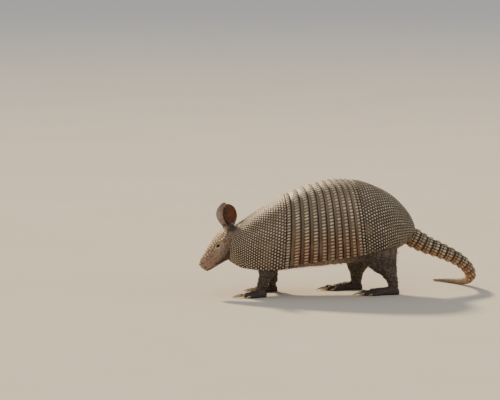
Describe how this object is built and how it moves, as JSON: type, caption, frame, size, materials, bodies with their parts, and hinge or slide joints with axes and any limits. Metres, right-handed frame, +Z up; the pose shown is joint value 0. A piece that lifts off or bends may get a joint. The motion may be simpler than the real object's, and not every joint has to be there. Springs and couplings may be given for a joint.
{
  "type": "nine-banded armadillo model",
  "caption": "Life-size still model of an adult nine-banded armadillo, walking with its head down and its snout close to the ground, as a museum shows.",
  "frame": {"origin": "middle of the footprint's bounding box, at floor level, so the soles rest at Z 0", "axes": "+X towards the tail, so the head points to -X; +Y towards the animal's right side; +Z up"},
  "size_m": [0.5166, 0.2172, 0.2072],
  "materials": {
    "shell": "satin horn over bone: pale cream scutes in dark grey-brown grooves",
    "head_shell": "satin horn: cream scutes, pinker towards the snout",
    "tail_shell": "satin horn: rings of cream and dark brown scutes",
    "skin": "matte, wrinkled and scaly grey-brown skin with sparse hair",
    "ear": "bare, pebbled brown and grey-pink leathery skin",
    "claw": "satin horn, darker at the root",
    "eye": "wet gloss, almost black"
  },
  "bodies": {
    "root": {"band_1": "shell", "band_2": "shell", "band_3": "shell", "band_4": "shell", "band_5": "shell", "band_6": "shell", "band_7": "shell", "band_8": "shell", "band_9": "shell", "ear_left": "ear", "ear_right": "ear", "eye_left": "eye", "eye_right": "eye", "fore_claw_left_1": "claw", "fore_claw_left_2": "claw", "fore_claw_left_3": "claw", "fore_claw_left_4": "claw", "fore_claw_right_1": "claw", "fore_claw_right_2": "claw", "fore_claw_right_3": "claw", "fore_claw_right_4": "claw", "fore_foot_left": "skin", "fore_foot_right": "skin", "fore_leg_left": "skin", "fore_leg_right": "skin", "head": "skin", "head_shield": "head_shell", "hind_claw_left_1": "claw", "hind_claw_left_2": "claw", "hind_claw_left_3": "claw", "hind_claw_left_4": "claw", "hind_claw_left_5": "claw", "hind_claw_right_1": "claw", "hind_claw_right_2": "claw", "hind_claw_right_3": "claw", "hind_claw_right_4": "claw", "hind_claw_right_5": "claw", "hind_foot_left": "skin", "hind_foot_right": "skin", "hind_leg_left": "skin", "hind_leg_right": "skin", "hip_shield": "shell", "neck": "skin", "shoulder_shield": "shell", "tail_end": "tail_shell", "tail_ring_1": "tail_shell", "tail_ring_10": "tail_shell", "tail_ring_11": "tail_shell", "tail_ring_12": "tail_shell", "tail_ring_2": "tail_shell", "tail_ring_3": "tail_shell", "tail_ring_4": "tail_shell", "tail_ring_5": "tail_shell", "tail_ring_6": "tail_shell", "tail_ring_7": "tail_shell", "tail_ring_8": "tail_shell", "tail_ring_9": "tail_shell", "trunk": "skin"}
  },
  "joints": []
}
